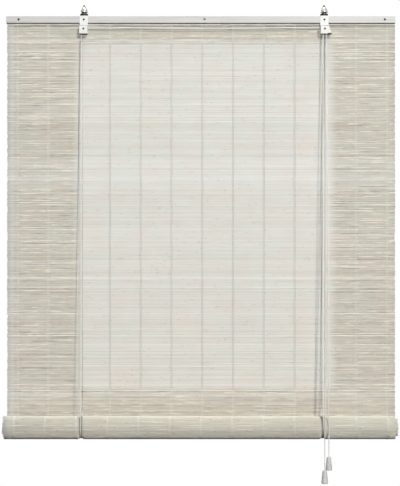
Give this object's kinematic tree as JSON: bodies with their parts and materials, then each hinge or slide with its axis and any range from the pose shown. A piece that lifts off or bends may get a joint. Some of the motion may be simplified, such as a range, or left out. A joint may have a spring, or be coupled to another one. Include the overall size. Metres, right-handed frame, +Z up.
{
  "type": "bamboo roll up blind",
  "caption": "Roll-up window blind of whitewashed bamboo slats on a white wooden head rail, raised by lift cords over pulley brackets with a cord lock and cord drops.",
  "frame": {"origin": "on the head rail's back face, on the line of its screw holes, midway between the two outer ones", "axes": "+X along the head rail to the right as seen from the room, +Y into the wall, +Z up"},
  "size_m": [0.913, 0.0762, 1.107],
  "materials": {
    "painted_wood": "white paint over wood, satin, grain faintly showing",
    "bamboo": "whitewashed split bamboo slats, matt",
    "lacquered_steel": "white lacquer, gloss",
    "pulley_plastic": "moulded nylon",
    "black_rubber": "plain black",
    "nickel_finial": "turned and nickel plated",
    "zinc_steel": "zinc plated",
    "cord": "braided polyester cord, off-white",
    "drop_plastic": "moulded, light grey-white"
  },
  "bodies": {
    "rail": {"fabric_drop": "bamboo", "head_rail": "painted_wood", "left_back_cord": "cord", "left_back_knot": "cord", "left_bracket": "lacquered_steel", "left_bracket_screw": "zinc_steel", "left_cross_cord": "cord", "left_finial": "nickel_finial", "left_finial_stud": "zinc_steel", "left_finial_washer": "black_rubber", "left_front_cord": "cord", "left_pull_cord_upper": "cord", "left_pulley_axle": "zinc_steel", "left_screw_eye": "zinc_steel", "right_back_cord": "cord", "right_back_knot": "cord", "right_bracket": "lacquered_steel", "right_bracket_screw": "zinc_steel", "right_finial": "nickel_finial", "right_finial_stud": "zinc_steel", "right_finial_washer": "black_rubber", "right_front_cord": "cord", "right_over_cord": "cord", "right_pull_cord_upper": "cord", "right_pulley_axle": "zinc_steel", "right_screw_eye": "zinc_steel"},
    "cradle": {"left_cradle_cord": "cord", "right_cradle_cord": "cord", "left_pull_cord_lower": "cord", "right_pull_cord_lower": "cord"},
    "roll": {"fabric_roll": "bamboo"},
    "left_drop": {"left_cord_drop": "drop_plastic", "left_drop_knot": "cord"},
    "right_drop": {"right_cord_drop": "drop_plastic", "right_drop_knot": "cord"},
    "left_wheel": {"left_pulley": "pulley_plastic"},
    "right_front_wheel": {"right_front_pulley": "pulley_plastic"},
    "right_rear_wheel": {"right_rear_pulley": "pulley_plastic"},
    "roller": {"lock_roller": "zinc_steel"}
  },
  "joints": [
    {"name": "roll_lift", "type": "slide", "parent": "rail", "child": "cradle", "axis": [0, 0, 1], "range_m": [0, 0.86], "deforming": ["fabric_drop", "left_back_cord", "right_back_cord", "left_front_cord", "right_front_cord", "left_pull_cord_upper", "right_pull_cord_upper"]},
    {"name": "roll_turn", "type": "hinge", "parent": "cradle", "child": "roll", "pos_m": [0, -0.04, -0.947], "axis": [1, 0, 0], "range_deg": [-1801, 0]},
    {"name": "left_drop_travel", "type": "slide", "parent": "cradle", "child": "left_drop", "axis": [0, 0, -1], "range_m": [0, 2.6], "deforming": ["left_pull_cord_lower"]},
    {"name": "right_drop_travel", "type": "slide", "parent": "cradle", "child": "right_drop", "axis": [0, 0, -1], "range_m": [0, 2.6], "deforming": ["right_pull_cord_lower"]},
    {"name": "left_pulley_turn", "type": "hinge", "parent": "rail", "child": "left_wheel", "pos_m": [-0.2744, -0.0273, -0.0232], "axis": [0, 1, 0], "continuous": true},
    {"name": "right_front_pulley_turn", "type": "hinge", "parent": "rail", "child": "right_front_wheel", "pos_m": [0.2855, -0.0305, -0.0232], "axis": [0, 1, 0], "continuous": true},
    {"name": "right_rear_pulley_turn", "type": "hinge", "parent": "rail", "child": "right_rear_wheel", "pos_m": [0.2855, -0.0245, -0.0232], "axis": [0, 1, 0], "continuous": true},
    {"name": "lock_roller_slide", "type": "slide", "parent": "rail", "child": "roller", "axis": [0.3237, 0, -0.9462], "range_m": [0, 0.007]}
  ],
  "couplings": [
    {"joint": "roll_turn", "follows": "roll_lift", "rad_per_m": -36.53},
    {"joint": "left_drop_travel", "follows": "roll_lift", "ratio": 3},
    {"joint": "right_drop_travel", "follows": "roll_lift", "ratio": 3},
    {"joint": "left_pulley_turn", "follows": "roll_lift", "rad_per_m": 500},
    {"joint": "right_front_pulley_turn", "follows": "roll_lift", "rad_per_m": 500},
    {"joint": "right_rear_pulley_turn", "follows": "roll_lift", "rad_per_m": 500}
  ]
}
